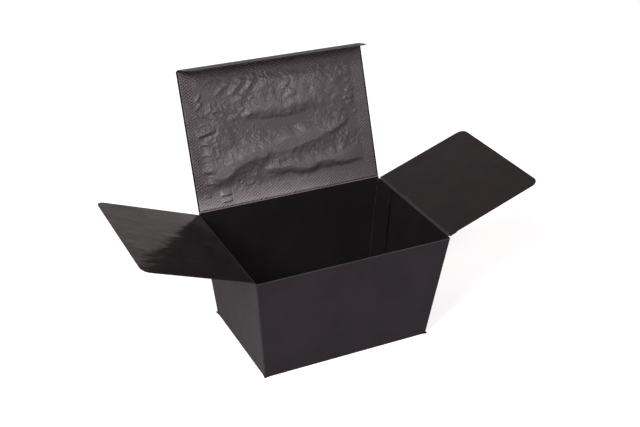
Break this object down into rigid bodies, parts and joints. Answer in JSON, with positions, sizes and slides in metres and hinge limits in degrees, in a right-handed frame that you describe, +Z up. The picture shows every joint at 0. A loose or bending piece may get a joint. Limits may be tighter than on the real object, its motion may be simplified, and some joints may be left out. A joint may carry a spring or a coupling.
{
  "type": "ballotin box",
  "caption": "Tapered card ballotin box standing open, with side flaps and a back-hinged lid that has a tuck flap and a crinkled cushion pad glued inside.",
  "frame": {"origin": "middle of the underside that the box stands on", "axes": "+X to the right along the front wall, +Y to the back wall that carries the lid, +Z up"},
  "size_m": [0.2501, 0.1198, 0.1556],
  "materials": {
    "board": "satin coated solid board, near black",
    "pad_paper": "crinkled soft-gloss pad paper, dark grey"
  },
  "bodies": {
    "carton": {"carton_body": "board"},
    "left_flap": {"left_side_flap": "board"},
    "right_flap": {"right_side_flap": "board"},
    "lid": {"lid_panel": "board", "lid_cushion_pad": "pad_paper"},
    "tuck": {"tuck_flap": "board"}
  },
  "joints": [
    {"name": "left_flap_crease", "type": "hinge", "parent": "carton", "child": "left_flap", "pos_m": [-0.0625, 0, 0.0695], "axis": [0, 1, 0], "range_deg": [-114, 163.8]},
    {"name": "right_flap_crease", "type": "hinge", "parent": "carton", "child": "right_flap", "pos_m": [0.0625, 0, 0.0695], "axis": [0, -1, 0], "range_deg": [-114, 162.3]},
    {"name": "lid_crease", "type": "hinge", "parent": "carton", "child": "lid", "pos_m": [0, 0.04407, 0.0703], "axis": [1, 0, 0], "range_deg": [-110.5, 111.5]},
    {"name": "tuck_crease", "type": "hinge", "parent": "lid", "child": "tuck", "pos_m": [0, 0.07599, 0.15132], "axis": [1, 0, 0], "range_deg": [-95.5, 2]}
  ]
}
